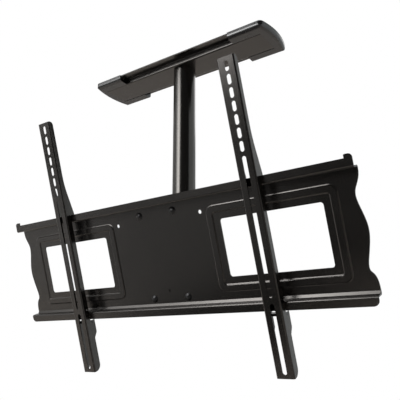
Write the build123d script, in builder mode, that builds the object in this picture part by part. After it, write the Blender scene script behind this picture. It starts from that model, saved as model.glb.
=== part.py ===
from build123d import *
import os
from math import cos, radians, sin, tan

os.makedirs("parts", exist_ok=True)

# Ceiling mount for a flat screen, in millimetres. The origin lies on the ceiling, on the axis of
# the down pipe. +X is to the right seen from the front, -Y is the front and +Z is up.

# Fits
seat_gap = 0.1  # between flat faces that rest on each other across a joint
slide_gap = 0.3  # between faces that pass each other, and round moulded covers
pin_gap = 0.1  # radial, between a bolt or a pin and its hole

# Down pipe and its swivel in the ceiling channel
pipe_diameter = 48.3
pipe_wall = 3.7
pivot_drop = 415.6  # ceiling to the tilt axis
pipe_tail = 20.0  # pipe below the lock bolt's axis
cable_hole_width = 24.0
cable_hole_height = 52.0
cable_hole_drop = 330.0
ring_width = 4.0
ring_height = 4.0
ring_room = 0.5  # between the ring's rim and the foot of the channel's walls
ceiling_room = 2.2  # between the ring and the ceiling
thrust_washer_height = 1.0
bearing_sheet = 4.0
bearing_length = 120.0

# Ceiling channel, a folded hat section
channel_length = 414.0
channel_sheet = 2.5
channel_bend = 3.1
wall_lean = 6.0  # outward lean of the channel's side walls, in degrees
ceiling_width = 105.0
lag_slot_width = 8.0
lag_slot_length = 36.0
lag_slot_inset = 29.0  # from the channel's end to the slot's centre

# End caps, moulded covers over the ends of the channel
cap_wall = 2.2
cap_overlap = 62.0
cap_end_room = 22.5  # past the channel's end, on the centre line
cap_bulge = 9.0
cap_round = 8.0
cap_corner = 10.0
pip_diameter = 4.0
pip_reach = 1.2
pip_inset = 47.0

# Tilt head
tilt_rest = 18.8  # forward lean at the stop, in degrees
plate_standoff = 68.1  # tilt axis to the adapter plate's front
lock_radius = 55.0  # tilt axis to the lock bolt
bracket_width = 112.0
bracket_margin = 11.2  # past the plate bolts, up and down
bracket_sheet = 4.0
bracket_bend = 5.0
ear_top = 50.0
ear_bottom = -80.0
pivot_ear_radius = 20.0
lock_ear_radius = 14.0
pivot_tube_diameter = 25.0
lock_tube_diameter = 20.0
pivot_bolt_diameter = 12.0
pivot_flats = 18.0
pivot_head_height = 7.5
pivot_nut_height = 10.0
pivot_washer_diameter = 24.0
lock_bolt_diameter = 10.0
lock_flats = 16.0
lock_head_height = 6.4
lock_nut_height = 8.0
lock_washer_diameter = 22.0
washer_sheet = 2.2
friction_disc_diameter = 30.0
friction_disc_sheet = 1.5
bolt_tail = 3.0  # thread standing past a nut

# Adapter plate, one pressed sheet
plate_width = 784.0
plate_sheet = 2.5
plate_bend = 0.8  # radius inside each fold of the sheet
ledge_height = 96.0
lip_depth = 18.5
lip_height = 15.2
lip_corner = 9.0
stop_width = 12.5
stop_height = 6.0
stop_corner = 2.0
waist_depth = 10.0
waist_margin = 35.0  # from the ledge to the waist
wave_margin = 3.0  # from the ledge to the wave's end
bulge_depth = 0.8
window_start = 138.7  # centre line to the window's near edge
window_side_margin = 62.3
window_margin = 44.15  # from the ledge to the window's edge
window_corner = 5.0
bead_outer = 25.5
bead_inner = 12.8
bead_height = 1.8
bead_outer_corner = 14.0
bead_inner_corner = 4.5
plate_bolt_inset = 15.6  # from the bracket's side
plate_bolt_margin = 14.2  # from the ledge
plate_bolt_diameter = 6.0
plate_bolt_neck = 6.4
plate_bolt_head = 15.0
plate_bolt_dome = 4.0
plate_nut_flats = 10.0
plate_nut_height = 6.0
plate_nut_flange = 14.0
plate_nut_rim = 1.6
side_hole_inset = 38.7  # from the window's near edge
side_hole_margin = 25.8  # from the ledge
side_hole_diameter = 7.6
centre_hole_margin = 27.9  # from the ledge
centre_hole_diameter = 5.0

# Screen rails, folded channels that hook over the plate's lips
rail_spacing = 449.4
rail_width = 32.7
rail_sheet = 2.0
rail_bend = 2.8
rail_depth = 13.0  # web front to the flange's edge on the lips
rail_top_depth = 10.7  # web front to the flange's edge above the hook
rail_top = 311.6
rail_bottom = -219.3
rail_top_corner = 7.6
rail_bottom_corner = 13.0
slot_width = 8.0
slot_margin = 6.5
short_slot_length = 17.4
short_slot_pitch = 22.2
short_slot_count = 7
middle_bridge = 7.2
lower_bridge = 10.0
long_slot_length = 233.6
hook_depth = 23.2  # web front to the hook's back
hook_reach = 10.2
hook_neck = 3.0
hook_taper = 62.0
hook_sweep = 200.0  # radius where the hook's taper runs out into the straight flange
hook_room = 0.6
hook_corner = 3.0
latch_depth = 24.8
latch_length = 26.5
latch_step = 10.5
latch_corner = 4.0
latch_room = 3.1
lower_depth = 17.4
flange_hole_diameter = 4.0
flange_hole_height = -90.5
flange_hole_depth = 9.0

# Rail locks, a bar between the flanges with a set screw that rises behind the lower lip
lock_bar_height = 4.6
lock_bar_depth = 10.0
lock_bar_shift = 1.5  # from the screw's axis out to the bar's middle
lock_bar_drop = 3.1  # from the flange's edge down to the bar's middle
lock_tenon_diameter = 3.8
lock_screw_diameter = 5.0
lock_screw_room = 0.5
lock_overlap = 8.2  # screw tip above the lip's lower edge
lock_key_flats = 2.5
lock_key_depth = 3.0
small_chamfer = 0.8

# Sizes that follow from the stack of the swivel
ring_diameter = pipe_diameter + 2 * ring_width
channel_width = ring_diameter + 2 * (ring_room + channel_sheet)
channel_inner = channel_width - 2 * channel_sheet
ring_top = -ceiling_room
ring_bottom = ring_top - ring_height
washer_top = ring_bottom - seat_gap
bearing_top = washer_top - thrust_washer_height
web_top = bearing_top - bearing_sheet
channel_drop = channel_sheet - web_top
flange_middle = (channel_width + ceiling_width) / 4
wall_foot = channel_width / 2
wall_spread = tan(radians(wall_lean)) * channel_drop  # outwards, over the channel's height
wall_top = wall_foot + wall_spread * (1 - channel_sheet / channel_drop)
fold_inside = channel_bend - channel_sheet
swivel_hole = pipe_diameter + 2 * slide_gap

# Places along the channel
channel_end = channel_length / 2
lag_slot_x = channel_end - lag_slot_inset
pip_x = channel_end - pip_inset
pip_root = wall_foot + wall_spread / 2 + slide_gap + cap_wall / 2
pip_tip = wall_foot + wall_spread / 2 - pip_reach
cap_inner = channel_end - cap_overlap
cap_reach = channel_end + seat_gap
cap_end = channel_end + cap_end_room
cap_depth = ceiling_width + 2 * (slide_gap + cap_wall)
cap_edge_round = min(cap_round, 0.8 * channel_drop)

# The plate's own frame: x across, y up the plate, z out of its front
tilt = radians(tilt_rest)
plate_up = Vector(0, -sin(tilt), cos(tilt))
plate_out = Vector(0, -cos(tilt), -sin(tilt))
pivot = Vector(0, 0, -pivot_drop)
plate_centre = pivot + plate_out * plate_standoff
plate_plane = Plane(origin=plate_centre, x_dir=(1, 0, 0), z_dir=plate_out)
up_axis = Axis((0, 0, 0), plate_up)
out_axis = Axis((0, 0, 0), plate_out)

# Places across the tilt head
ear_outer = bracket_width / 2
ear_inner = ear_outer - bracket_sheet
tube_reach = ear_inner - friction_disc_sheet - seat_gap
lock_tube_reach = ear_inner - seat_gap
bracket_front = -plate_sheet
bracket_back = bracket_front - bracket_sheet
lock_drop = pivot_drop + lock_radius
lock_slot_width = lock_bolt_diameter + 2 * slide_gap
pipe_bottom = -lock_drop - pipe_tail

# Places on the plate
half_width = plate_width / 2
lip_reach = ledge_height + lip_height
fold_outside = plate_bend + plate_sheet
wave_height = ledge_height - wave_margin
waist_height = ledge_height - waist_margin
window_end = half_width - window_side_margin
window_x = (window_start + window_end) / 2
window_width = window_end - window_start
window_height = 2 * (ledge_height - window_margin)
plate_bolt_x = ear_outer - plate_bolt_inset
plate_bolt_height = ledge_height - plate_bolt_margin
bracket_height = 2 * (plate_bolt_height + bracket_margin)
side_hole_x = window_start - side_hole_inset
side_hole_height = ledge_height - side_hole_margin
centre_hole_height = centre_hole_margin - ledge_height

# Places of the rails on the plate
lip_back = lip_depth - plate_sheet
rail_edge = lip_depth + seat_gap
web_front = rail_edge + rail_depth
top_back = web_front - rail_top_depth
hook_back = web_front - hook_depth
hook_face = lip_back - hook_room
hook_top = lip_reach + seat_gap
hook_tip = lip_reach - hook_reach
hook_end = hook_top + hook_neck + hook_taper
latch_top = -lip_reach - latch_room
latch_back = web_front - latch_depth
latch_bottom = latch_top - latch_length
lower_back = web_front - lower_depth
lock_screw_out = lip_back - lock_screw_room - lock_screw_diameter / 2
lock_bar_up = latch_top - lock_bar_drop
lock_bar_out = lock_screw_out + lock_bar_shift
lock_screw_end = lock_bar_up - lock_bar_height / 2
lock_tip = -lip_reach + lock_overlap


def side_plane(x):
    """Plane across the plate at x: its x runs up the plate, its y out of the front."""
    return Plane(origin=plate_centre + Vector(x, 0, 0), x_dir=plate_up, z_dir=(1, 0, 0))


def save(builder, name):
    """Label a finished piece and write it to its own file."""
    builder.part.label = name
    export_step(builder.part, f"parts/{name}.step")


def cap_form(inset):
    """Block with the end cap's outline: bowed end, rounded lower edges, all walls moved in by inset."""
    half = cap_depth / 2 - inset
    inner = cap_inner + inset
    corner_x = cap_end - cap_bulge - inset
    with BuildPart() as form:
        with BuildSketch() as outline:
            with BuildLine():
                Line((inner, half), (inner, -half))
                Line((inner, -half), (corner_x, -half))
                ThreePointArc((corner_x, -half), (cap_end - inset, 0), (corner_x, half))
                Line((corner_x, half), (inner, half))
            make_face()
        extrude(amount=inset - channel_drop)
        lower_edges = form.faces().sort_by(Axis.Z)[0].edges()
        fillet(lower_edges.sort_by(Axis.X)[1:], cap_edge_round - inset)
        with BuildSketch() as rounded:
            add(outline.sketch)
            fillet(rounded.vertices().group_by(Axis.X)[-1], cap_corner - inset)
        extrude(amount=inset - channel_drop, mode=Mode.INTERSECT)
    return form.part


def channel_space(reach, front, back):
    """Prism round the channel's walls out to reach, wider by the gaps given in front and behind."""
    with BuildPart() as space:
        with BuildSketch(Plane.YZ):
            with BuildLine():
                Polyline(
                    (-wall_foot - wall_spread - front, 0),
                    (-wall_foot - front, -channel_drop),
                    (wall_foot + back, -channel_drop),
                    (wall_foot + wall_spread + back, 0),
                    close=True,
                )
            make_face()
        extrude(amount=reach)
    return space.part


def hex_bolt(diameter, flats, head_height, length):
    """Hexagon bolt along -Z, its head standing on the XY plane."""
    with BuildPart() as bolt:
        with BuildSketch():
            RegularPolygon(flats / 2, 6, major_radius=False)
        extrude(amount=head_height)
        chamfer(bolt.faces().sort_by(Axis.Z)[-1].edges(), small_chamfer)
        with BuildSketch():
            Circle(diameter / 2)
        extrude(amount=-length)
        chamfer(bolt.faces().sort_by(Axis.Z)[0].edges(), small_chamfer)
    return bolt.part


def hex_nut(diameter, flats, height):
    """Hexagon nut from the XY plane down."""
    with BuildPart() as nut:
        with BuildSketch():
            RegularPolygon(flats / 2, 6, major_radius=False)
            Circle(diameter / 2 + pin_gap, mode=Mode.SUBTRACT)
        extrude(amount=-height)
        chamfer(nut.faces().sort_by(Axis.Z)[0].outer_wire().edges(), small_chamfer)
    return nut.part


def bead_ring(plane, half_width, half_height, margin_out, margin_in, corner_out, corner_in):
    """Frame with sloped sides that stands bead_height out of the plane, round a window."""
    with BuildPart() as ring:
        with BuildSketch(plane):
            RectangleRounded(2 * (half_width + margin_out), 2 * (half_height + margin_out), corner_out)
        extrude(amount=bead_height, taper=45)
        top_in = margin_in + bead_height
        with BuildSketch(plane.offset(bead_height)):
            RectangleRounded(2 * (half_width + top_in), 2 * (half_height + top_in), corner_in + bead_height)
        extrude(amount=-bead_height, taper=45, mode=Mode.SUBTRACT)
    return ring.part


# Ceiling channel
with BuildPart() as ceiling_channel:
    with BuildSketch(Plane.YZ):
        with BuildLine():
            FilletPolyline(
                (-ceiling_width / 2, -channel_sheet),
                (-wall_top, -channel_sheet),
                (-wall_foot, -channel_drop),
                (wall_foot, -channel_drop),
                (wall_top, -channel_sheet),
                (ceiling_width / 2, -channel_sheet),
                radius=(fold_inside, channel_bend, channel_bend, fold_inside),
            )
            offset(amount=channel_sheet, side=Side.LEFT)
        make_face()
    extrude(amount=channel_end, both=True)
    with BuildSketch():
        with GridLocations(2 * lag_slot_x, 2 * flange_middle, 2, 2):
            SlotOverall(lag_slot_length, lag_slot_width)
    extrude(amount=-channel_sheet, mode=Mode.SUBTRACT)
    with BuildSketch(Plane.XY.offset(-channel_drop)):
        Circle(swivel_hole / 2)
    extrude(amount=channel_sheet, mode=Mode.SUBTRACT)
    with BuildSketch(Plane.XZ):
        with Locations((-pip_x, -channel_drop / 2), (pip_x, -channel_drop / 2)):
            Circle(pip_diameter / 2 + slide_gap)
    extrude(amount=channel_width, both=True, mode=Mode.SUBTRACT)
save(ceiling_channel, "ceiling_channel")

# End caps
cap_outside = cap_form(0)
cap_hollow = cap_form(cap_wall)
with BuildPart() as cap_space:
    add(cap_hollow)
    add(channel_space(cap_reach + cap_wall, slide_gap + cap_wall, seat_gap + cap_wall), mode=Mode.SUBTRACT)
with BuildPart() as right_end_cap:
    add(cap_outside)
    add(cap_space.part, mode=Mode.SUBTRACT)
    add(channel_space(cap_reach, slide_gap, seat_gap), mode=Mode.SUBTRACT)
    with BuildSketch():
        Rectangle(2 * cap_reach, ceiling_width + 2 * slide_gap)
    extrude(amount=-channel_sheet - slide_gap, mode=Mode.SUBTRACT)
    for side in (-1, 1):
        pip_start = (pip_x, side * pip_root, -channel_drop / 2)
        pip_plane = Plane(origin=pip_start, x_dir=(1, 0, 0), z_dir=(0, -side, 0))
        with BuildSketch(pip_plane):
            Circle(pip_diameter / 2)
        extrude(amount=pip_root - pip_tip)
save(right_end_cap, "right_end_cap")
with BuildPart() as left_end_cap:
    mirror(right_end_cap.part, about=Plane.YZ)
save(left_end_cap, "left_end_cap")

# Bearing plate and thrust washer, which carry the pipe's ring inside the channel
with BuildPart() as bearing_plate:
    with BuildSketch(Plane.XY.offset(web_top)):
        Rectangle(bearing_length, channel_inner - 2 * channel_bend)
        Circle(swivel_hole / 2, mode=Mode.SUBTRACT)
    extrude(amount=bearing_sheet)
save(bearing_plate, "bearing_plate")
with BuildPart() as thrust_washer:
    with BuildSketch(Plane.XY.offset(bearing_top)):
        Circle(ring_diameter / 2)
        Circle(swivel_hole / 2, mode=Mode.SUBTRACT)
    extrude(amount=thrust_washer_height)
save(thrust_washer, "thrust_washer")

# Down pipe with its ring at the top and two cross tubes near the bottom
with BuildPart() as pipe_ring:
    with BuildSketch(Plane.XY.offset(ring_bottom)):
        Circle(ring_diameter / 2)
        Circle(pipe_diameter / 2 + pin_gap / 2, mode=Mode.SUBTRACT)
    extrude(amount=ring_height)
    chamfer(pipe_ring.edges().group_by(Axis.Z)[-1], small_chamfer)
save(pipe_ring, "pipe_ring")
with BuildPart() as down_pipe:
    with BuildSketch(Plane.XY.offset(ring_top)):
        Circle(pipe_diameter / 2)
        Circle(pipe_diameter / 2 - pipe_wall, mode=Mode.SUBTRACT)
    extrude(amount=pipe_bottom - ring_top)
    for drop, diameter in ((pivot_drop, pivot_tube_diameter), (lock_drop, lock_tube_diameter)):
        with BuildSketch(Plane.YZ):
            with Locations((0, -drop)):
                Circle(diameter / 2 + pin_gap / 2)
        extrude(amount=pipe_diameter, both=True, mode=Mode.SUBTRACT)
    with BuildSketch(Plane.XZ):
        with Locations((0, -cable_hole_drop)):
            SlotOverall(cable_hole_height, cable_hole_width, rotation=90)
    extrude(amount=-pipe_diameter, mode=Mode.SUBTRACT)
    chamfer(down_pipe.edges().group_by(Axis.Z)[0], small_chamfer)
save(down_pipe, "down_pipe")
for name, drop, diameter, bolt, reach in (
    ("pivot_tube", pivot_drop, pivot_tube_diameter, pivot_bolt_diameter, tube_reach),
    ("lock_tube", lock_drop, lock_tube_diameter, lock_bolt_diameter, lock_tube_reach),
):
    with BuildPart() as cross_tube:
        with BuildSketch(Plane.YZ):
            with Locations((0, -drop)):
                Circle(diameter / 2)
                Circle(bolt / 2 + pin_gap, mode=Mode.SUBTRACT)
        extrude(amount=reach, both=True)
    save(cross_tube, name)

# Tilt bracket: a channel bolted behind the plate, with ears that carry the pivot and the lock arc
with BuildPart() as tilt_bracket:
    with BuildSketch(plate_plane.offset(bracket_back)):
        Rectangle(bracket_width, bracket_height)
    extrude(amount=bracket_sheet)
    with BuildSketch(side_plane(-ear_outer)) as ear:
        with Locations((0, -plate_standoff)):
            Circle(pivot_ear_radius)
            with PolarLocations(lock_radius, 2, 180 - tilt_rest, tilt_rest, endpoint=True):
                Circle(lock_ear_radius)
        with Locations(((ear_top + ear_bottom) / 2, (bracket_front + bracket_back) / 2)):
            Rectangle(ear_top - ear_bottom, bracket_sheet)
        make_hull()
    extrude(amount=bracket_width)
    with BuildSketch(plate_plane.offset(bracket_back)):
        Rectangle(2 * ear_inner, 2 * bracket_height)
    extrude(amount=-2 * plate_standoff, mode=Mode.SUBTRACT)
    front_edges = tilt_bracket.edges().filter_by(up_axis).group_by(out_axis)[-1]
    fillet(front_edges, bracket_bend)
    with BuildSketch(side_plane(0)):
        with Locations((0, -plate_standoff)):
            Circle(pivot_bolt_diameter / 2 + pin_gap)
            with PolarLocations(lock_radius, 2, 180 - tilt_rest, tilt_rest, endpoint=True):
                Circle(lock_slot_width / 2)
        with BuildLine():
            CenterArc((0, -plate_standoff), lock_radius, 180 - tilt_rest, tilt_rest)
        trace(line_width=lock_slot_width)
    extrude(amount=ear_outer, both=True, mode=Mode.SUBTRACT)
    with BuildSketch(plate_plane.offset(bracket_back)):
        with GridLocations(2 * plate_bolt_x, 2 * plate_bolt_height, 2, 2):
            Circle(plate_bolt_diameter / 2 + pin_gap)
    extrude(amount=bracket_sheet, mode=Mode.SUBTRACT)
save(tilt_bracket, "tilt_bracket")

# Pivot bolt set, which turns with the bracket
washer_outer = ear_outer + washer_sheet
pivot_right = Plane(origin=pivot + Vector(washer_outer, 0, 0), x_dir=(0, 0, 1), z_dir=(1, 0, 0))
pivot_left = Plane(origin=pivot - Vector(washer_outer, 0, 0), x_dir=(0, 0, 1), z_dir=(1, 0, 0))
pivot_bolt_form = hex_bolt(
    pivot_bolt_diameter, pivot_flats, pivot_head_height, 2 * washer_outer + pivot_nut_height + bolt_tail
)
pivot_nut_form = hex_nut(pivot_bolt_diameter, pivot_flats, pivot_nut_height)
with BuildPart(pivot_right) as pivot_bolt:
    add(pivot_bolt_form)
save(pivot_bolt, "pivot_bolt")
with BuildPart(pivot_left) as pivot_nut:
    add(pivot_nut_form)
save(pivot_nut, "pivot_nut")
with BuildPart() as pivot_washers:
    for start, height in ((ear_outer, washer_sheet), (-ear_outer, -washer_sheet)):
        with BuildSketch(Plane.YZ.offset(start)):
            with Locations((0, -pivot_drop)):
                Circle(pivot_washer_diameter / 2)
                Circle(pivot_bolt_diameter / 2 + pin_gap, mode=Mode.SUBTRACT)
        extrude(amount=height)
save(pivot_washers, "pivot_washers")
with BuildPart() as friction_discs:
    for start, height in ((ear_inner, -friction_disc_sheet), (-ear_inner, friction_disc_sheet)):
        with BuildSketch(Plane.YZ.offset(start)):
            with Locations((0, -pivot_drop)):
                Circle(friction_disc_diameter / 2)
                Circle(pivot_bolt_diameter / 2 + pin_gap, mode=Mode.SUBTRACT)
        extrude(amount=height)
save(friction_discs, "friction_discs")

# Tilt lock bolt set, which stays with the pipe while the ears swing past it
lock_washer_inner = ear_outer + seat_gap
lock_outer = lock_washer_inner + washer_sheet
lock_axis = Vector(0, 0, -lock_drop)
lock_right = Plane(origin=lock_axis + Vector(lock_outer, 0, 0), x_dir=(0, 0, 1), z_dir=(1, 0, 0))
lock_left = Plane(origin=lock_axis - Vector(lock_outer, 0, 0), x_dir=(0, 0, 1), z_dir=(1, 0, 0))
lock_bolt_form = hex_bolt(
    lock_bolt_diameter, lock_flats, lock_head_height, 2 * lock_outer + lock_nut_height + bolt_tail
)
lock_nut_form = hex_nut(lock_bolt_diameter, lock_flats, lock_nut_height)
with BuildPart(lock_right) as tilt_lock_bolt:
    add(lock_bolt_form)
save(tilt_lock_bolt, "tilt_lock_bolt")
with BuildPart(lock_left) as tilt_lock_nut:
    add(lock_nut_form)
save(tilt_lock_nut, "tilt_lock_nut")
with BuildPart() as tilt_lock_washers:
    for start, height in ((lock_washer_inner, washer_sheet), (-lock_washer_inner, -washer_sheet)):
        with BuildSketch(Plane.YZ.offset(start)):
            with Locations((0, -lock_drop)):
                Circle(lock_washer_diameter / 2)
                Circle(lock_bolt_diameter / 2 + pin_gap, mode=Mode.SUBTRACT)
        extrude(amount=height)
save(tilt_lock_washers, "tilt_lock_washers")

# Adapter plate
bead_shift = plate_sheet * tan(radians(22.5))  # keeps the sheet's thickness on the sloped walls
front_beads = []
back_beads = []
for side in (-1, 1):
    window_plane = Plane(
        origin=plate_plane.from_local_coords(Vector(side * window_x, 0, 0)), x_dir=(1, 0, 0), z_dir=plate_out
    )
    front_beads.append(
        bead_ring(
            window_plane, window_width / 2, window_height / 2, bead_outer, bead_inner,
            bead_outer_corner, bead_inner_corner,
        )
    )
    back_beads.append(
        bead_ring(
            window_plane.offset(-plate_sheet), window_width / 2, window_height / 2,
            bead_outer - bead_shift, bead_inner + bead_shift,
            bead_outer_corner - bead_shift, bead_inner_corner + bead_shift,
        )
    )
with BuildPart() as adapter_plate:
    with BuildSketch(side_plane(-half_width)):
        with BuildLine():
            FilletPolyline(
                (lip_reach, lip_depth),
                (ledge_height, lip_depth),
                (ledge_height, 0),
                (-ledge_height, 0),
                (-ledge_height, lip_depth),
                (-lip_reach, lip_depth),
                radius=(fold_outside, plate_bend, plate_bend, fold_outside),
            )
            offset(amount=plate_sheet, side=Side.LEFT)
        make_face()
    extrude(amount=plate_width)
    lower_corners = adapter_plate.edges().filter_by(out_axis).group_by(up_axis)[0]
    fillet(lower_corners, lip_corner)
    with BuildSketch(plate_plane.offset(lip_depth)) as stops:
        for side in (-1, 1):
            with Locations((side * (half_width - stop_width / 2), lip_reach)):
                Rectangle(stop_width, 2 * stop_height)
        fillet(stops.vertices().group_by(Axis.Y)[-1].sort_by(Axis.X)[0::3], stop_height)
        fillet(stops.vertices().group_by(Axis.Y)[-1].sort_by(Axis.X)[1:3], stop_corner)
    extrude(amount=-plate_sheet)
    with BuildSketch(plate_plane):
        for side in (-1, 1):
            with BuildLine():
                Spline(
                    (side * half_width, wave_height),
                    (side * (half_width - waist_depth), waist_height),
                    (side * (half_width - bulge_depth), 0),
                    (side * (half_width - waist_depth), -waist_height),
                    (side * half_width, -wave_height),
                    tangents=((0, -1), (0, -1)),
                )
                Polyline(
                    (side * half_width, -wave_height),
                    (side * (half_width + waist_depth), -wave_height),
                    (side * (half_width + waist_depth), wave_height),
                    (side * half_width, wave_height),
                )
            make_face()
    extrude(amount=-plate_sheet, mode=Mode.SUBTRACT)
    for front_bead, back_bead in zip(front_beads, back_beads):
        add(front_bead)
        add(back_bead, mode=Mode.SUBTRACT)
    with BuildSketch(plate_plane):
        with Locations((-window_x, 0), (window_x, 0)):
            RectangleRounded(window_width, window_height, window_corner)
        with GridLocations(2 * plate_bolt_x, 2 * plate_bolt_height, 2, 2):
            Rectangle(plate_bolt_neck + 2 * pin_gap, plate_bolt_neck + 2 * pin_gap)
        with Locations((-side_hole_x, side_hole_height), (side_hole_x, side_hole_height)):
            Circle(side_hole_diameter / 2)
        with Locations((0, centre_hole_height)):
            Circle(centre_hole_diameter / 2)
    extrude(amount=-plate_sheet, mode=Mode.SUBTRACT)
save(adapter_plate, "adapter_plate")

# Carriage bolts through plate and bracket, with flanged nuts behind
plate_bolt_grip = plate_sheet + bracket_sheet
with BuildPart() as carriage_bolt:
    with BuildSketch(Plane.XZ):
        with BuildLine():
            dome = TangentArc((0, plate_bolt_dome), (plate_bolt_head / 2, 0), tangent=(1, 0))
            Polyline(dome @ 1, (0, 0), dome @ 0)
        make_face()
    revolve(axis=Axis.Z)
    with BuildSketch():
        Rectangle(plate_bolt_neck, plate_bolt_neck)
    extrude(amount=-plate_sheet)
    with BuildSketch():
        Circle(plate_bolt_diameter / 2)
    extrude(amount=-plate_bolt_grip - plate_nut_height - bolt_tail)
with BuildPart() as flanged_nut:
    with BuildSketch(Plane.XY.offset(-plate_bolt_grip)):
        Circle(plate_nut_flange / 2)
        Circle(plate_bolt_diameter / 2 + pin_gap, mode=Mode.SUBTRACT)
    extrude(amount=-plate_nut_rim)
    with BuildSketch(Plane.XY.offset(-plate_bolt_grip)):
        RegularPolygon(plate_nut_flats / 2, 6, major_radius=False)
        Circle(plate_bolt_diameter / 2 + pin_gap, mode=Mode.SUBTRACT)
    extrude(amount=-plate_nut_height)
with BuildPart(plate_plane) as plate_bolts:
    with GridLocations(2 * plate_bolt_x, 2 * plate_bolt_height, 2, 2):
        add(carriage_bolt.part)
save(plate_bolts, "plate_bolts")
with BuildPart(plate_plane) as plate_nuts:
    with GridLocations(2 * plate_bolt_x, 2 * plate_bolt_height, 2, 2):
        add(flanged_nut.part)
save(plate_nuts, "plate_nuts")

# Screen rails with their lock bars and lock screws
first_slot = rail_top - slot_margin - short_slot_length / 2
short_slots = [first_slot - short_slot_pitch * i for i in range(short_slot_count)]
long_slot_top = short_slots[-1] - short_slot_length / 2 - middle_bridge
long_slot_bottom = long_slot_top - long_slot_length
lower_slot_top = long_slot_bottom - lower_bridge
lower_slot_bottom = rail_bottom + slot_margin
for side_name, rail_x in (("left", -rail_spacing / 2), ("right", rail_spacing / 2)):
    rail_left = rail_x - rail_width / 2
    with BuildPart() as rail:
        with BuildSketch(side_plane(rail_left)) as flange:
            with BuildLine():
                Polyline(
                    (rail_top, web_front),
                    (rail_bottom, web_front),
                    (rail_bottom, lower_back),
                    (latch_bottom - latch_step, lower_back),
                    (latch_bottom, latch_back),
                    (latch_top, latch_back),
                    (latch_top, rail_edge),
                    (hook_top, rail_edge),
                    (hook_top, hook_face),
                    (hook_tip, hook_face),
                    (hook_tip, hook_back),
                    (hook_top + hook_neck, hook_back),
                    (hook_end, top_back),
                    (rail_top, top_back),
                    close=True,
                )
            make_face()
            for corner, radius in (
                ((rail_top, top_back), rail_top_corner),
                ((hook_end, top_back), hook_sweep),
                ((hook_tip, hook_back), hook_corner),
                ((latch_bottom, latch_back), latch_corner),
                ((latch_bottom - latch_step, lower_back), latch_corner),
                ((rail_bottom, lower_back), rail_bottom_corner),
            ):
                fillet(flange.vertices().sort_by_distance(corner)[0], radius)
        extrude(amount=rail_width)
        with BuildSketch(side_plane(rail_left + rail_sheet)):
            with Locations(((rail_top + rail_bottom) / 2, web_front - rail_sheet)):
                Rectangle(2 * (rail_top - rail_bottom), 2 * latch_depth, align=(Align.CENTER, Align.MAX))
        extrude(amount=rail_width - 2 * rail_sheet, mode=Mode.SUBTRACT)
        bend_edges = rail.edges().filter_by(up_axis).group_by(out_axis)[-1]
        fillet(bend_edges, rail_bend)
        with BuildSketch(plate_plane.offset(web_front)):
            for height in short_slots:
                with Locations((rail_x, height)):
                    SlotOverall(short_slot_length, slot_width, rotation=90)
            for top, bottom in ((long_slot_top, long_slot_bottom), (lower_slot_top, lower_slot_bottom)):
                with Locations((rail_x, (top + bottom) / 2)):
                    SlotOverall(top - bottom, slot_width, rotation=90)
        extrude(amount=-rail_sheet, mode=Mode.SUBTRACT)
        with BuildSketch(side_plane(rail_left)):
            with Locations((lock_bar_up, lock_bar_out)):
                Circle(lock_tenon_diameter / 2 + pin_gap)
            with Locations((flange_hole_height, web_front - flange_hole_depth)):
                Circle(flange_hole_diameter / 2)
        extrude(amount=rail_width, mode=Mode.SUBTRACT)
    save(rail, f"{side_name}_rail")

    screw_plane = Plane(
        origin=plate_plane.from_local_coords(Vector(rail_x, lock_screw_end, lock_screw_out)),
        x_dir=(1, 0, 0),
        z_dir=plate_up,
    )
    with BuildPart() as lock_bar:
        with BuildSketch(side_plane(rail_x)):
            with Locations((lock_bar_up, lock_bar_out)):
                Rectangle(lock_bar_height, lock_bar_depth)
        extrude(amount=rail_width / 2 - rail_sheet - pin_gap, both=True)
        with BuildSketch(side_plane(rail_x)):
            with Locations((lock_bar_up, lock_bar_out)):
                Circle(lock_tenon_diameter / 2)
        extrude(amount=rail_width / 2, both=True)
        with BuildSketch(screw_plane):
            Circle(lock_screw_diameter / 2 + pin_gap)
        extrude(amount=lock_bar_height, mode=Mode.SUBTRACT)
    save(lock_bar, f"{side_name}_lock_bar")
    with BuildPart() as lock_screw:
        with BuildSketch(screw_plane):
            Circle(lock_screw_diameter / 2)
        extrude(amount=lock_tip - lock_screw_end)
        chamfer(lock_screw.edges().group_by(up_axis)[0], small_chamfer)
        chamfer(lock_screw.edges().group_by(up_axis)[-1], small_chamfer)
        with BuildSketch(screw_plane):
            RegularPolygon(lock_key_flats / 2, 6, major_radius=False)
        extrude(amount=lock_key_depth, mode=Mode.SUBTRACT)
    save(lock_screw, f"{side_name}_lock_screw")
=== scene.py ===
import math

import bpy
import numpy as np
from bpy.props import FloatProperty, FloatVectorProperty, PointerProperty
from mathutils import Matrix, Vector


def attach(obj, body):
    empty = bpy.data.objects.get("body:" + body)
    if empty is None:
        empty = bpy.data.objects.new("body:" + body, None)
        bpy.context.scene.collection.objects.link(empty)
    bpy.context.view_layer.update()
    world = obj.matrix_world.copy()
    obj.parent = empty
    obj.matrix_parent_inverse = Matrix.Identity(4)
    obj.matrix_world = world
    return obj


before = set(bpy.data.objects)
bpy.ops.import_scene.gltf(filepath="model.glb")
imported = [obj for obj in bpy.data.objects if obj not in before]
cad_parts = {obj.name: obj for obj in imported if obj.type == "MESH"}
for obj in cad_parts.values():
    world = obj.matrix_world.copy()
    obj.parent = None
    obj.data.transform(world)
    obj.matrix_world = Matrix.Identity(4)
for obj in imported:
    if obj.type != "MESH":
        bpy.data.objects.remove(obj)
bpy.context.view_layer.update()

bl_info = {
    "name": "Screen ceiling mount",
    "version": (1, 0, 0),
    "blender": (4, 5, 0),
    "location": "View3D > Sidebar > Ceiling Mount",
    "description": "Dresses a ceiling mount for a flat screen: coat, caps, welds and threads",
    "category": "Object",
}

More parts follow.
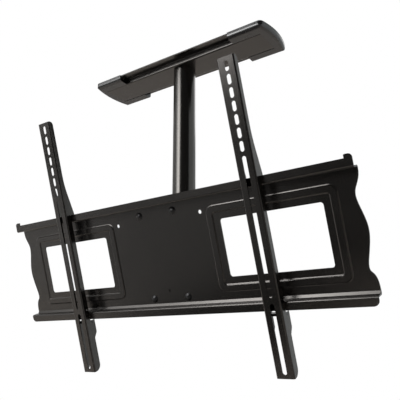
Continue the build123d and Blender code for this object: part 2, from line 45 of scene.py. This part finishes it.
# Places of the object in metres, in the frame of its solids
TILT = math.radians(18.8)
ACROSS = np.array((1.0, 0.0, 0.0))
PLATE_UP = np.array((0.0, -math.sin(TILT), math.cos(TILT)))
PLATE_OUT = np.array((0.0, -math.cos(TILT), -math.sin(TILT)))
PIVOT = np.array((0.0, 0.0, -0.4156))
LOCK = np.array((0.0, 0.0, -0.4706))
PLATE_CENTRE = PIVOT + 0.0681 * PLATE_OUT
LEDGE_HEIGHT = 0.096
FOLD_ARC = 0.002
FOLD_HALF = 0.3915
WINDOW_X = 0.2342
WINDOW_HALF = np.array((0.0955, 0.05185))
PLATE_BOLT_X = 0.0404
PLATE_BOLT_UP = 0.0818
PLATE_BOLT_TAIL = -0.0153
LOCK_SCREW_X = 0.2247
LOCK_SCREW_UP = -0.1188
LOCK_SCREW_OUT = 0.0130
PIVOT_BOLT_REACH = 0.0704
LOCK_BOLT_REACH = 0.0685
PIPE_RADIUS = 0.02415
PIVOT_TUBE_RADIUS = 0.0125
LOCK_TUBE_RADIUS = 0.010
RING_TOP = np.array((0.0, 0.0, -0.0022))

# Steps along the curves of the added pieces
THREAD_STEPS = 48
PITCH_STEPS = 8
WELD_STEPS = 384
BEAD_STEPS = 14
FOLD_STEPS = 8
CORNER_STEPS = 9


def mount_settings():
    """The sizes and colours that the panel shows."""
    return bpy.context.scene.ceiling_mount


def on_plate(x, up, out):
    """Point in the plate's own frame: across, up the plate and out of its front."""
    return PLATE_CENTRE + x * ACROSS + up * PLATE_UP + out * PLATE_OUT


def direction(azimuth, elevation):
    """Unit vector at an azimuth from the front towards the right, and an elevation, in radians."""
    flat = math.cos(elevation)
    return Vector((math.sin(azimuth) * flat, -math.cos(azimuth) * flat, math.sin(elevation)))


class CoatSettings(bpy.types.PropertyGroup):
    """Black powder coat on the steel pieces."""

    colour: FloatVectorProperty(
        name="Coat colour", description="Colour of the coat", subtype="COLOR", size=3, min=0.0,
        max=1.0, default=(0.0042, 0.0038, 0.0034),
    )
    gleam: FloatVectorProperty(
        name="Coat gleam", description="Tint of the coat's reflections", subtype="COLOR", size=3,
        min=0.0, max=1.0, default=(1.0, 0.95, 0.90),
    )
    roughness: FloatProperty(
        name="Coat roughness", description="Mean roughness of the coat", subtype="FACTOR", min=0.0,
        max=1.0, default=0.22,
    )
    peel_size: FloatProperty(
        name="Peel size", description="Width of the coat's fine waves", unit="LENGTH",
        default=0.0018, min=0.0001,
    )
    peel_height: FloatProperty(
        name="Peel height", description="Height of the coat's fine waves", unit="LENGTH",
        default=0.000004, min=0.0,
    )


class MouldSettings(bpy.types.PropertyGroup):
    """Moulded plastic of the caps, and of the discs and washers that slip."""

    cap_colour: FloatVectorProperty(
        name="Cap colour", description="Colour of the end caps", subtype="COLOR", size=3, min=0.0,
        max=1.0, default=(0.010, 0.0095, 0.009),
    )
    slip_colour: FloatVectorProperty(
        name="Slip colour", description="Colour of the friction discs and the thrust washer",
        subtype="COLOR", size=3, min=0.0, max=1.0, default=(0.030, 0.030, 0.031),
    )
    roughness: FloatProperty(
        name="Plastic roughness", description="Mean roughness of the plastic", subtype="FACTOR",
        min=0.0, max=1.0, default=0.25,
    )
    grain_size: FloatProperty(
        name="Grain size", description="Width of the mould's spark grain", unit="LENGTH",
        default=0.0006, min=0.0001,
    )
    grain_height: FloatProperty(
        name="Grain height", description="Depth of the mould's spark grain", unit="LENGTH",
        default=0.000003, min=0.0,
    )


class SteelSettings(bpy.types.PropertyGroup):
    """Black fasteners, zinc plate, threads and weld beads."""

    fastener_colour: FloatVectorProperty(
        name="Fastener colour", description="Colour of the blackened fasteners", subtype="COLOR",
        size=3, min=0.0, max=1.0, default=(0.010, 0.010, 0.011),
    )
    zinc_colour: FloatVectorProperty(
        name="Zinc colour", description="Colour of the zinc plated steel", subtype="COLOR", size=3,
        min=0.0, max=1.0, default=(0.58, 0.60, 0.63),
    )
    fold_height: FloatProperty(
        name="Fold height", description="Height of the slope inside the plate's lower fold",
        unit="LENGTH", default=0.005, min=0.002, max=0.010,
    )
    fold_slope: FloatProperty(
        name="Fold slope", description="Slope inside the lower fold, from the plate",
        unit="ROTATION", default=math.radians(30.0), min=math.radians(10.0), max=math.radians(60.0),
    )
    foot_width: FloatProperty(
        name="Foot width", description="Width of the gentle foot along the window frames",
        unit="LENGTH", default=0.0016, min=0.0008, max=0.0020,
    )
    foot_slope: FloatProperty(
        name="Foot slope", description="Slope of the foot, from the plate", unit="ROTATION",
        default=math.radians(21.0), min=math.radians(10.0), max=math.radians(30.0),
    )
    weld_radius: FloatProperty(
        name="Weld radius", description="Half the width of a weld bead", unit="LENGTH",
        default=0.002, min=0.0005,
    )
    ripple_pitch: FloatProperty(
        name="Ripple pitch", description="Length of one ripple along a weld", unit="LENGTH",
        default=0.0016, min=0.0005,
    )
    ripple_share: FloatProperty(
        name="Ripple share", description="Height of the ripples as a share of the bead",
        subtype="FACTOR", default=0.09, min=0.0, max=0.5,
    )


class StageSettings(bpy.types.PropertyGroup):
    """Floor, backdrop, lamps and camera."""

    floor_height: FloatProperty(
        name="Floor height", description="Height of the floor, from the ceiling", unit="LENGTH",
        default=-1.1,
    )
    key_azimuth: FloatProperty(
        name="Key azimuth", description="Key lamp's azimuth from the front", unit="ROTATION",
        default=math.radians(-23.5),
    )
    key_power: FloatProperty(
        name="Key power", description="Power of the key lamp", unit="POWER", default=19.0, min=0.0,
    )
    rim_power: FloatProperty(
        name="Rim power", description="Power of the wide lamp round the key lamp", unit="POWER",
        default=24.6, min=0.0,
    )
    fill_power: FloatProperty(
        name="Fill power", description="Power of the dim lamp in front of the plate", unit="POWER",
        default=0.5, min=0.0,
    )
    top_power: FloatProperty(
        name="Top power", description="Power of the high lamp", unit="POWER", default=22.0, min=0.0,
    )
    back_power: FloatProperty(
        name="Back power", description="Power of the wide lamp behind the mount", unit="POWER",
        default=8.0, min=0.0,
    )
    camera_place: FloatVectorProperty(
        name="Camera place", description="Where the camera stands", subtype="TRANSLATION",
        unit="LENGTH", size=3, default=(0.60865, -0.81955, -0.60423),
    )
    camera_azimuth: FloatProperty(
        name="Camera azimuth", description="Turn of the view to the left of +Y", unit="ROTATION",
        default=math.radians(34.72),
    )
    camera_pitch: FloatProperty(
        name="Camera pitch", description="Upward tilt of the view", unit="ROTATION",
        default=math.radians(15.98),
    )
    camera_roll: FloatProperty(
        name="Camera roll", description="Roll of the view", unit="ROTATION",
        default=math.radians(-0.14),
    )
    camera_lens: FloatProperty(
        name="Camera lens", description="Focal length in millimetres on a 36 mm sensor",
        default=46.034, min=1.0,
    )


class MountSettings(bpy.types.PropertyGroup):
    """All sizes and colours of the mount and its stage."""

    coat: PointerProperty(type=CoatSettings)
    mould: PointerProperty(type=MouldSettings)
    steel: PointerProperty(type=SteelSettings)
    stage: PointerProperty(type=StageSettings)


def new_material(name):
    """Node material with a Principled shader; returns the material, its nodes, links and shader."""
    material = bpy.data.materials.new(name)
    material.use_nodes = True
    nodes = material.node_tree.nodes
    links = material.node_tree.links
    return material, nodes, links, nodes["Principled BSDF"]


def on_object(nodes, links, kind, scale):
    """Texture of a kind on Object coordinates; returns its node."""
    coordinates = nodes.new("ShaderNodeTexCoord")
    texture = nodes.new(kind)
    texture.inputs["Scale"].default_value = scale
    links.new(coordinates.outputs["Object"], texture.inputs["Vector"])
    return texture


def vary(nodes, links, source, low, high, socket):
    """Maps a texture's middle range to low and high on a socket."""
    spread = nodes.new("ShaderNodeMapRange")
    spread.inputs["From Min"].default_value = 0.3
    spread.inputs["From Max"].default_value = 0.7
    spread.inputs["To Min"].default_value = low
    spread.inputs["To Max"].default_value = high
    links.new(source, spread.inputs["Value"])
    links.new(spread.outputs["Result"], socket)


def tint(nodes, links, source, colour, spread, shader):
    """Base colour that drifts with a texture by a share to each side of a colour."""
    mix = nodes.new("ShaderNodeMix")
    mix.data_type = "RGBA"
    mix.inputs["A"].default_value = [(1.0 - spread) * c for c in colour] + [1.0]
    mix.inputs["B"].default_value = [(1.0 + spread) * c for c in colour] + [1.0]
    links.new(source, mix.inputs["Factor"])
    links.new(mix.outputs["Result"], shader.inputs["Base Color"])


def emboss(nodes, links, source, height, shader):
    """Bump of a real height from a texture."""
    bump = nodes.new("ShaderNodeBump")
    bump.inputs["Distance"].default_value = height
    links.new(source, bump.inputs["Height"])
    links.new(bump.outputs["Normal"], shader.inputs["Normal"])


def powder_coat(name, roughness_step):
    """Satin black powder coat: fine orange peel in the bump, slow drift in roughness and colour."""
    coat = mount_settings().coat
    material, nodes, links, shader = new_material(name)
    peel = on_object(nodes, links, "ShaderNodeTexNoise", 1.0 / coat.peel_size)
    emboss(nodes, links, peel.outputs["Fac"], coat.peel_height, shader)
    drift = on_object(nodes, links, "ShaderNodeTexNoise", scale=14.0)
    middle = coat.roughness + roughness_step
    low, high = middle - 0.02, middle + 0.02
    vary(nodes, links, drift.outputs["Fac"], low, high, shader.inputs["Roughness"])
    tint(nodes, links, drift.outputs["Fac"], coat.colour, spread=0.15, shader=shader)
    shader.inputs["Specular IOR Level"].default_value = 1.0
    shader.inputs["Specular Tint"].default_value = list(coat.gleam) + [1.0]
    return material


def moulded_plastic(name, colour):
    """Moulded plastic: spark grain from the mould in the bump, small drift in gloss and colour."""
    mould = mount_settings().mould
    material, nodes, links, shader = new_material(name)
    grain = on_object(nodes, links, "ShaderNodeTexVoronoi", 1.0 / mould.grain_size)
    emboss(nodes, links, grain.outputs["Distance"], mould.grain_height, shader)
    drift = on_object(nodes, links, "ShaderNodeTexNoise", scale=22.0)
    low, high = mould.roughness - 0.03, mould.roughness + 0.03
    vary(nodes, links, drift.outputs["Fac"], low, high, shader.inputs["Roughness"])
    tint(nodes, links, drift.outputs["Fac"], colour, spread=0.12, shader=shader)
    shader.inputs["Specular IOR Level"].default_value = 1.0
    return material


def blackened_steel(name):
    """Black oxide on steel: speckled colour and gloss, with faint pits."""
    steel = mount_settings().steel
    material, nodes, links, shader = new_material(name)
    speckle = on_object(nodes, links, "ShaderNodeTexNoise", scale=900.0)
    emboss(nodes, links, speckle.outputs["Fac"], height=0.000006, shader=shader)
    low, high = 0.26, 0.40
    vary(nodes, links, speckle.outputs["Fac"], low, high, shader.inputs["Roughness"])
    tint(nodes, links, speckle.outputs["Fac"], steel.fastener_colour, spread=0.5, shader=shader)
    return material


def zinc_plate(name):
    """Zinc plated steel: pale crystals of slightly different gloss and colour."""
    steel = mount_settings().steel
    material, nodes, links, shader = new_material(name)
    crystals = on_object(nodes, links, "ShaderNodeTexVoronoi", scale=160.0)
    low, high = 0.30, 0.46
    vary(nodes, links, crystals.outputs["Distance"], low, high, shader.inputs["Roughness"])
    tint(nodes, links, crystals.outputs["Distance"], steel.zinc_colour, spread=0.08, shader=shader)
    shader.inputs["Metallic"].default_value = 1.0
    return material


def dress(material, *names):
    """Gives CAD nodes a material."""
    for name in names:
        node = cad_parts[name]
        node.data.materials.clear()
        node.data.materials.append(material)


def new_piece(name, points, faces, material):
    """Mesh object at the origin, smooth but for its sharp edges."""
    mesh = bpy.data.meshes.new(name)
    mesh.from_pydata(points.tolist(), [], faces)
    mesh.shade_smooth()
    mesh.set_sharp_from_angle(angle=math.radians(40.0))
    mesh.materials.append(material)
    piece = bpy.data.objects.new(name, mesh)
    bpy.context.scene.collection.objects.link(piece)
    return piece


def loop_surface(name, points, material):
    """Closed surface over a grid of points whose rows and columns both join end to end.

    Rows run round an axis, and columns round the section from its outside towards the axis's head,
    so that the faces look outwards.
    """
    rows, columns = points.shape[:2]
    index = np.arange(rows * columns).reshape(rows, columns)
    ahead = np.roll(index, -1, axis=0)
    corners = (index, ahead, np.roll(ahead, -1, axis=1), np.roll(index, -1, axis=1))
    faces = np.stack(corners, axis=-1)
    return new_piece(name, points.reshape(-1, 3), faces.reshape(-1, 4).tolist(), material)


def square_axes(axis):
    """Two unit vectors square to an axis, which make a right-handed set with it."""
    first = np.array(Vector(axis).orthogonal().normalized())
    return first, np.cross(axis, first)


def thread_sleeve(name, start, axis, length, radius, crest, pitch, material):
    """Closed sleeve with a screw thread outside and a plain bore just inside the shank.

    At the angle a and the distance t along the axis the outside lies at the radius
    radius + crest * |2 * frac(t / pitch - a / 2 pi) - 1|, and the bore at radius - wall.
    """
    wall = 0.0002
    first, second = square_axes(axis)
    angles = np.linspace(0.0, 2.0 * np.pi, THREAD_STEPS, endpoint=False)[:, None]
    steps = np.linspace(0.0, length, round(PITCH_STEPS * length / pitch))
    outside = radius + crest * np.abs(2.0 * ((steps / pitch - angles / (2.0 * np.pi)) % 1.0) - 1.0)
    bore = np.full((angles.size, 2), radius - wall)
    radii = np.concatenate((outside, bore), axis=1)[..., None]
    along = np.concatenate((steps, (length, 0.0)))[None, :, None]
    spokes = (np.cos(angles) * first + np.sin(angles) * second)[:, None, :]
    return loop_surface(name, start + along * axis + radii * spokes, material)


def weld_bead(name, path, outward, axis, material):
    """Rippled bead of round section along a closed path.

    A point of the bead is path(a) + r(a) * (cos b * outward(a) + sin b * axis), and the radius r
    ripples with the distance run: r = radius * (1 + share * cos(2 pi * distance / pitch)).
    """
    steel = mount_settings().steel
    steps = np.linalg.norm(np.roll(path, -1, axis=0) - path, axis=1)
    whole = max(1, round(steps.sum() / steel.ripple_pitch))
    phase = 2.0 * np.pi * whole * (np.cumsum(steps) - steps) / steps.sum()
    radius = steel.weld_radius * (1.0 + steel.ripple_share * np.cos(phase))[:, None, None]
    turn = np.linspace(0.0, 2.0 * np.pi, BEAD_STEPS, endpoint=False)[None, :, None]
    section = np.cos(turn) * outward[:, None, :] + np.sin(turn) * axis
    return loop_surface(name, path[:, None, :] + radius * section, material)


def fold_slope(name, height, slope, half_length, material):
    """Closed bar with a sloped face inside the plate's lower fold.

    The face leaves the plate at a tangent, on an arc: up = height - FOLD_ARC * sin a and
    out = FOLD_ARC * (1 - cos a), with a from 0 to the slope. It runs on straight down to the ledge,
    and the section is carried straight along the plate.
    """
    sink = 0.0005
    angles = np.linspace(0.0, slope, FOLD_STEPS)
    up = height - FOLD_ARC * np.sin(angles)
    out = FOLD_ARC * (1.0 - np.cos(angles))
    foot = out[-1] + up[-1] * math.tan(slope)
    up = np.append(up, (0.0, -sink)) - LEDGE_HEIGHT
    out = np.append(out, (foot, -sink))
    section = PLATE_CENTRE + up[:, None] * PLATE_UP + out[:, None] * PLATE_OUT
    points = np.concatenate((section - half_length * ACROSS, section + half_length * ACROSS))
    count = len(section)
    near = np.arange(count)
    ahead = np.roll(near, -1)
    walls = np.stack((near, ahead, ahead + count, near + count), axis=1)
    ends = [near[::-1].tolist(), (near + count).tolist()]
    return new_piece(name, points, walls.tolist() + ends, material)


def frame_foot(name, side, margin, corner, lean, material):
    """Closed ring with a gentle face along the foot of a window frame's flank.

    The path is a rounded rectangle, at a margin round the window: at the angle a it lies at its
    corner's centre + corner * (cos a, sin a). The section's face rises from the plate at the foot
    slope, over the foot width, to the flank, which stands at 45 degrees. The back of the section
    sinks into the plate. Lean is 1 outside the frame and -1 inside it.
    """
    sink = 0.0003
    steel = mount_settings().steel
    rise = steel.foot_width * math.tan(steel.foot_slope)
    start = steel.foot_width - rise
    section = np.array(((start, 0.0), (-rise, rise), (-3.0 * sink, sink), (sink, -sink)))
    if lean < 0:
        section = section[::-1] * (-1.0, 1.0)
    quarter = np.linspace(0.0, np.pi / 2.0, CORNER_STEPS)
    angles = (np.arange(4)[:, None] * np.pi / 2.0 + quarter).ravel()
    away = np.stack((np.cos(angles), np.sin(angles)), axis=1)
    quadrants = ((1.0, 1.0), (-1.0, 1.0), (-1.0, -1.0), (1.0, -1.0))
    signs = np.repeat(quadrants, CORNER_STEPS, axis=0)
    centres = signs * (WINDOW_HALF + margin - corner)
    flat = centres[:, None, :] + away[:, None, :] * (corner + section[None, :, :1])
    across = (flat[..., :1] + side * WINDOW_X) * ACROSS
    points = PLATE_CENTRE + across + flat[..., 1:] * PLATE_UP + section[None, :, 1:] * PLATE_OUT
    return loop_surface(name, points, material)


class MOUNT_OT_channel(bpy.types.Operator):
    """Powder coat on the folded ceiling channel"""

    bl_idname = "mount.channel"
    bl_label = "Coat the Channel"

    def execute(self, context):
        dress(powder_coat("channel_coat", roughness_step=0.0), "ceiling_channel")
        return {"FINISHED"}


class MOUNT_OT_caps(bpy.types.Operator):
    """Moulded plastic on the two end caps"""

    bl_idname = "mount.caps"
    bl_label = "Finish the End Caps"

    def execute(self, context):
        plastic = moulded_plastic("cap_moulding", mount_settings().mould.cap_colour)
        dress(plastic, "left_end_cap", "right_end_cap")
        return {"FINISHED"}


class MOUNT_OT_swivel(bpy.types.Operator):
    """Zinc on the bearing plate, plastic on the thrust washer and the friction discs"""

    bl_idname = "mount.swivel"
    bl_label = "Finish the Bearings"

    def execute(self, context):
        dress(zinc_plate("bearing_zinc"), "bearing_plate")
        plastic = moulded_plastic("slip_moulding", mount_settings().mould.slip_colour)
        dress(plastic, "thrust_washer", "friction_discs")
        return {"FINISHED"}


class MOUNT_OT_pipe(bpy.types.Operator):
    """Powder coat on the down pipe, its ring and its cross tubes, with the weld beads"""

    bl_idname = "mount.pipe"
    bl_label = "Coat and Weld the Pipe"

    def execute(self, context):
        coat = powder_coat("pipe_coat", roughness_step=-0.01)
        dress(coat, "pipe_ring", "down_pipe", "pivot_tube", "lock_tube")
        angles = np.linspace(0.0, 2.0 * np.pi, WELD_STEPS, endpoint=False)
        beads = []
        tubes = (("pivot", PIVOT, PIVOT_TUBE_RADIUS), ("lock", LOCK, LOCK_TUBE_RADIUS))
        for tube, centre, radius in tubes:
            flat, high = np.cos(angles), np.sin(angles)
            outward = np.stack((np.zeros_like(flat), flat, high), axis=1)
            reach = np.sqrt(PIPE_RADIUS ** 2 - (radius * flat) ** 2)
            for side, sign in (("left", -1.0), ("right", 1.0)):
                path = centre + radius * outward + sign * reach[:, None] * ACROSS
                beads.append(weld_bead(f"{tube}_tube_weld_{side}", path, outward, ACROSS, coat))
        outward = np.stack((np.cos(angles), np.sin(angles), np.zeros_like(angles)), axis=1)
        path = RING_TOP + PIPE_RADIUS * outward
        beads.append(weld_bead("ring_weld", path, outward, np.array((0.0, 0.0, 1.0)), coat))
        for bead in beads:
            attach(bead, "pipe")
        return {"FINISHED"}


class MOUNT_OT_bracket(bpy.types.Operator):
    """Powder coat on the tilt bracket behind the plate"""

    bl_idname = "mount.bracket"
    bl_label = "Coat the Tilt Bracket"

    def execute(self, context):
        dress(powder_coat("bracket_coat", roughness_step=0.01), "tilt_bracket")
        return {"FINISHED"}


class MOUNT_OT_plate(bpy.types.Operator):
    """Powder coat on the pressed adapter plate, on its lower fold's slope and its frames' feet"""

    bl_idname = "mount.plate"
    bl_label = "Coat the Adapter Plate"

    def execute(self, context):
        coat = powder_coat("plate_coat", roughness_step=0.03)
        dress(coat, "adapter_plate")
        steel = mount_settings().steel
        fold = fold_slope("lower_fold_slope", steel.fold_height, steel.fold_slope, FOLD_HALF, coat)
        pieces = [fold]
        # Each foot's edge of the frame, margin round the window, corner radius and lean
        feet = (("outer", 0.0255, 0.014, 1.0), ("inner", 0.0128, 0.0045, -1.0))
        for hand, side in (("left", -1.0), ("right", 1.0)):
            for edge, margin, corner, lean in feet:
                name = f"{hand}_frame_{edge}_foot"
                pieces.append(frame_foot(name, side, margin, corner, lean, coat))
        for piece in pieces:
            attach(piece, "plate")
        return {"FINISHED"}


class MOUNT_OT_rails(bpy.types.Operator):
    """Powder coat on the two slotted rails"""

    bl_idname = "mount.rails"
    bl_label = "Coat the Rails"

    def execute(self, context):
        dress(powder_coat("rail_coat", roughness_step=0.01), "left_rail", "right_rail")
        return {"FINISHED"}


class MOUNT_OT_fasteners(bpy.types.Operator):
    """Black oxide on bolts, nuts, washers and locks, with the threads that show"""

    bl_idname = "mount.fasteners"
    bl_label = "Blacken the Fasteners"

    def execute(self, context):
        black = blackened_steel("black_oxide")
        dress(
            black, "pivot_bolt", "pivot_nut", "pivot_washers", "tilt_lock_bolt", "tilt_lock_nut",
            "tilt_lock_washers", "plate_bolts", "plate_nuts", "left_lock_bar", "right_lock_bar",
            "left_lock_screw", "right_lock_screw",
        )
        pivot_end = PIVOT - PIVOT_BOLT_REACH * ACROSS
        lock_end = LOCK - LOCK_BOLT_REACH * ACROSS
        # Each thread's name, start, axis, length, radius, crest, pitch and body
        threads = [
            ("pivot_thread", pivot_end, ACROSS, 0.0022, 0.006, 0.0003, 0.00175, "plate"),
            ("lock_thread", lock_end, ACROSS, 0.0022, 0.005, 0.00025, 0.0015, "pipe"),
        ]
        hands = (("left", -1.0), ("right", 1.0))
        for row, up in (("lower", -PLATE_BOLT_UP), ("upper", PLATE_BOLT_UP)):
            for hand, side in hands:
                tail = on_plate(side * PLATE_BOLT_X, up, PLATE_BOLT_TAIL)
                name = f"plate_bolt_thread_{row}_{hand}"
                threads.append((name, tail, PLATE_OUT, 0.0028, 0.003, 0.0002, 0.001, "plate"))
        for hand, side in hands:
            foot = on_plate(side * LOCK_SCREW_X, LOCK_SCREW_UP, LOCK_SCREW_OUT)
            name, body = f"{hand}_lock_thread", f"{hand}_lock"
            threads.append((name, foot, PLATE_UP, 0.0149, 0.0025, 0.00005, 0.0008, body))
        for *shape, body in threads:
            thread = thread_sleeve(*shape, black)
            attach(thread, body)
        return {"FINISHED"}


def share_for_rays(nodes, links, view_share, gleam_share):
    """Socket with one share for camera and transmission rays, one for glossy rays, and else 0."""
    path = nodes.new("ShaderNodeLightPath")
    seen = nodes.new("ShaderNodeMath")
    seen.operation = "MAXIMUM"
    links.new(path.outputs["Is Camera Ray"], seen.inputs[0])
    links.new(path.outputs["Is Transmission Ray"], seen.inputs[1])
    gleam = nodes.new("ShaderNodeMath")
    gleam.operation = "MULTIPLY"
    gleam.inputs[1].default_value = gleam_share
    links.new(path.outputs["Is Glossy Ray"], gleam.inputs[0])
    total = nodes.new("ShaderNodeMath")
    total.operation = "MULTIPLY_ADD"
    total.inputs[1].default_value = view_share
    links.new(seen.outputs[0], total.inputs[0])
    links.new(gleam.outputs[0], total.inputs[2])
    return total.outputs[0]


def pale_paper(name, colour, glow, view_share, gleam_share):
    """Matt paper with a glow mixed over it by shares for two kinds of ray, white to the camera."""
    material, nodes, links, shader = new_material(name)
    shader.inputs["Base Color"].default_value = (*colour, 1.0)
    shader.inputs["Roughness"].default_value = 0.9
    path = nodes.new("ShaderNodeLightPath")
    shade = nodes.new("ShaderNodeMix")
    shade.data_type = "RGBA"
    shade.inputs["A"].default_value = (*glow, 1.0)
    shade.inputs["B"].default_value = (1.0, 1.0, 1.0, 1.0)
    links.new(path.outputs["Is Camera Ray"], shade.inputs["Factor"])
    light = nodes.new("ShaderNodeEmission")
    links.new(shade.outputs["Result"], light.inputs["Color"])
    mix = nodes.new("ShaderNodeMixShader")
    links.new(share_for_rays(nodes, links, view_share, gleam_share), mix.inputs["Fac"])
    links.new(shader.outputs["BSDF"], mix.inputs[1])
    links.new(light.outputs["Emission"], mix.inputs[2])
    links.new(mix.outputs["Shader"], nodes["Material Output"].inputs["Surface"])
    return material


class MOUNT_OT_stage(bpy.types.Operator):
    """Pale floor and backdrop, soft lamps, white surroundings and the camera"""

    bl_idname = "mount.stage"
    bl_label = "Set the Stage"

    def execute(self, context):
        stage = mount_settings().stage
        scene = context.scene
        scene.view_settings.view_transform = "Standard"
        self.paper(stage)
        self.light_world(scene)
        middle = Vector((0.0, -0.05, -0.3))
        plate = Vector(PLATE_CENTRE)
        turn = math.degrees(stage.key_azimuth)
        # Each lamp's name, target, azimuth and elevation in degrees, size, distance and power
        lamps = (
            ("key", middle, (turn, 19.5), (1.0, 1.44), 2.5, stage.key_power),
            ("key_rim", middle, (turn - 7.0, 19.5), (2.15, 1.44), 2.6, stage.rim_power),
            ("fill", plate, (-38.0, -13.0), (0.95, 0.73), 1.3, stage.fill_power),
            ("top", middle, (-52.0, 56.0), (1.1, 1.0), 2.5, stage.top_power),
            ("back", middle, (188.0, 36.0), (2.4, 0.9), 2.6, stage.back_power),
        )
        for lamp in lamps:
            self.lamp(*lamp)
        self.place_camera(scene, stage)
        return {"FINISHED"}

    def paper(self, stage):
        """Floor in three sheets, backdrop and side cards, square to the camera's azimuth."""
        low = stage.floor_height
        turn = stage.camera_azimuth
        right = Vector((math.cos(turn), math.sin(turn), 0.0))
        ahead = Vector((-math.sin(turn), math.cos(turn), 0.0))

        def sheet(name, material, corners):
            """One sheet whose corners are given to the right, ahead and up."""
            mesh = bpy.data.meshes.new(name)
            points = [r * right + a * ahead + Vector((0, 0, z)) for r, a, z in corners]
            mesh.from_pydata(points, [], [(0, 1, 2, 3)])
            mesh.materials.append(material)
            made = bpy.data.objects.new(name, mesh)
            bpy.context.scene.collection.objects.link(made)
            return made

        def floor_sheet(name, material, first, last, near, far):
            """Sheet on the floor between two places to the right and two ahead."""
            corners = [(first, near, low), (last, near, low), (last, far, low), (first, far, low)]
            return sheet(name, material, corners)

        def side_card(name, material, side, first, last):
            """Card that stands on the floor at one side, between two places ahead."""
            top = 1.6
            corners = [(side, first, low), (side, last, low), (side, last, top), (side, first, top)]
            return sheet(name, material, corners)

        wide, front, seam, back = 5.0, -4.0, -0.05, 3.2
        split, top = -0.5, 3.0
        warm, pale = (0.46, 0.42, 0.38), (0.8, 0.8, 0.8)
        # Each paper's name, colour, glow, and the glow's shares to the camera and in reflections
        floor = pale_paper("floor_paper", warm, (1.0, 0.93, 0.87), 0.6, 0.38)
        wall = pale_paper("wall_paper", pale, (1.0, 1.0, 1.0), 1.0, 0.35)
        near = pale_paper("near_paper", warm, (1.0, 0.96, 0.93), 0.6, 0.13)
        card = pale_paper("card_paper", pale, (0.92, 0.98, 1.0), 1.0, 0.5)
        floor_sheet("floor", floor, -wide, wide, seam, back)
        hidden = floor_sheet("floor_front", floor, -wide, split, front, seam)
        hidden.visible_glossy = False
        floor_sheet("floor_near", near, split, wide, front, seam)
        corners = [(-wide, back, low), (wide, back, low), (wide, back, top), (-wide, back, top)]
        sheet("backdrop", wall, corners)
        side_card("left_card", wall, -2.4, -0.2, back)
        side_card("right_card", card, 2.2, back, -1.9)

    def light_world(self, scene):
        """White where the camera sees it, a dim even grey as light."""
        world = bpy.data.worlds.new("studio")
        scene.world = world
        world.use_nodes = True
        nodes = world.node_tree.nodes
        links = world.node_tree.links
        path = nodes.new("ShaderNodeLightPath")
        strength = nodes.new("ShaderNodeMapRange")
        strength.inputs["To Min"].default_value = 0.05
        strength.inputs["To Max"].default_value = 1.0
        links.new(path.outputs["Is Camera Ray"], strength.inputs["Value"])
        nodes["Background"].inputs["Color"].default_value = (1.0, 1.0, 1.0, 1.0)
        links.new(strength.outputs["Result"], nodes["Background"].inputs["Strength"])

    def lamp(self, name, target, angles, size, distance, power):
        """Soft rectangular lamp that faces the target and isn't seen by the camera."""
        data = bpy.data.lights.new(name, "AREA")
        data.shape = "RECTANGLE"
        data.size, data.size_y = size
        data.energy = power
        lamp = bpy.data.objects.new(name, data)
        away = direction(*np.radians(angles))
        lamp.location = target + away * distance
        lamp.rotation_euler = away.to_track_quat("Z", "Y").to_euler()
        lamp.visible_camera = False
        bpy.context.scene.collection.objects.link(lamp)

    def place_camera(self, scene, stage):
        """Camera at the fitted place, with its right, up and backward axes as columns."""
        turn, pitch, roll = stage.camera_azimuth, stage.camera_pitch, stage.camera_roll
        forward = Vector((
            -math.sin(turn) * math.cos(pitch), math.cos(turn) * math.cos(pitch), math.sin(pitch),
        ))
        right = Vector((math.cos(turn), math.sin(turn), 0.0))
        up = right.cross(forward)
        axes = Matrix((right, up, -forward)).transposed() @ Matrix.Rotation(roll, 3, "Z")
        data = bpy.data.cameras.new("camera")
        data.sensor_width = 36.0
        data.lens = stage.camera_lens
        camera = bpy.data.objects.new("camera", data)
        camera.matrix_world = Matrix.Translation(Vector(stage.camera_place)) @ axes.to_4x4()
        scene.collection.objects.link(camera)
        scene.camera = camera


OPERATORS = (
    MOUNT_OT_channel, MOUNT_OT_caps, MOUNT_OT_swivel, MOUNT_OT_pipe, MOUNT_OT_bracket,
    MOUNT_OT_plate, MOUNT_OT_rails, MOUNT_OT_fasteners, MOUNT_OT_stage,
)


class MOUNT_PT_panel(bpy.types.Panel):
    """Sidebar panel with the mount's sizes, colours and operators"""

    bl_idname = "MOUNT_PT_panel"
    bl_label = "Ceiling Mount"
    bl_space_type = "VIEW_3D"
    bl_region_type = "UI"
    bl_category = "Ceiling Mount"

    def draw(self, context):
        settings = context.scene.ceiling_mount
        for group in (settings.coat, settings.mould, settings.steel, settings.stage):
            box = self.layout.box()
            for name in group.__annotations__:
                box.prop(group, name)
        for operator in OPERATORS:
            self.layout.operator(operator.bl_idname)


CLASSES = (
    CoatSettings, MouldSettings, SteelSettings, StageSettings, MountSettings, *OPERATORS,
    MOUNT_PT_panel,
)


def register():
    for cls in CLASSES:
        bpy.utils.register_class(cls)
    bpy.types.Scene.ceiling_mount = PointerProperty(type=MountSettings)


def unregister():
    del bpy.types.Scene.ceiling_mount
    for cls in reversed(CLASSES):
        bpy.utils.unregister_class(cls)


def main():
    register()
    bpy.ops.mount.channel()
    bpy.ops.mount.caps()
    bpy.ops.mount.swivel()
    bpy.ops.mount.pipe()
    bpy.ops.mount.bracket()
    bpy.ops.mount.plate()
    bpy.ops.mount.rails()
    bpy.ops.mount.fasteners()
    bpy.ops.mount.stage()


if __name__ == "__main__":
    main()
